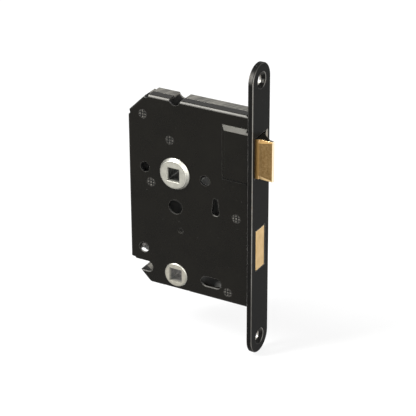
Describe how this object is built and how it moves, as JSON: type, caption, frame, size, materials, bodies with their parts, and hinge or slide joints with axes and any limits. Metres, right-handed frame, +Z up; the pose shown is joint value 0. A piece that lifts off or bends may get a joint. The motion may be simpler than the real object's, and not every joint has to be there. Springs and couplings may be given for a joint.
{
  "type": "bathroom mortise lock",
  "caption": "Mortise lock for a bathroom door: sprung bevelled latch for the handle, dead bolt for the privacy turn, round-ended forend.",
  "frame": {"origin": "middle of the forend's outer face, half way between its two screw holes", "axes": "+X out of the door's edge, square to the forend; Y through the door's thickness, with the latch's bevel towards +Y; +Z up along the forend"},
  "size_m": [0.0899, 0.02, 0.174],
  "materials": {
    "black_steel": "satin black",
    "cover_steel": "bare galvanised",
    "plated_steel": "zinc plated",
    "cast_zinc": "cast and tumbled",
    "brass": "satin",
    "spring_steel": "oiled"
  },
  "bodies": {
    "case": {"forend": "black_steel", "forend_studs": "plated_steel", "case_body": "black_steel", "case_cover": "cover_steel", "case_pillars": "black_steel", "latch_bridge": "plated_steel", "latch_spring": "spring_steel", "latch_spring_washer": "plated_steel", "follower_spring": "spring_steel", "detent_spring": "spring_steel", "detent_spring_post": "plated_steel"},
    "follower": {"handle_follower": "cast_zinc"},
    "latch": {"latch_head": "brass", "latch_tail": "plated_steel", "latch_rivet": "plated_steel", "latch_drive_pin": "plated_steel"},
    "deadbolt": {"deadbolt_head": "brass", "deadbolt_tail": "plated_steel", "deadbolt_rivets": "plated_steel"},
    "privacy": {"privacy_hub": "cast_zinc", "privacy_drive_pin": "plated_steel"}
  },
  "joints": [
    {"name": "handle_turn", "type": "hinge", "parent": "case", "child": "follower", "pos_m": [-0.05, 0, 0.0145], "axis": [0, -1, 0], "range_deg": [0, 48], "deforming": ["follower_spring"]},
    {"name": "latch_slide", "type": "slide", "parent": "case", "child": "latch", "axis": [-1, 0, 0], "range_m": [0, 0.011], "stiffness_N_per_m": 600, "springref_m": -0.008, "deforming": ["latch_spring"]},
    {"name": "privacy_turn", "type": "hinge", "parent": "case", "child": "privacy", "pos_m": [-0.05, 0, -0.0485], "axis": [0, 1, 0], "range_deg": [0, 90], "deforming": ["detent_spring"]},
    {"name": "deadbolt_slide", "type": "slide", "parent": "case", "child": "deadbolt", "axis": [1, 0, 0], "range_m": [0, 0.013]}
  ],
  "couplings": [
    {"joint": "handle_turn", "follows": "latch_slide", "rad_per_m": 76.15},
    {"joint": "privacy_turn", "follows": "deadbolt_slide", "rad_per_m": 120.8}
  ]
}
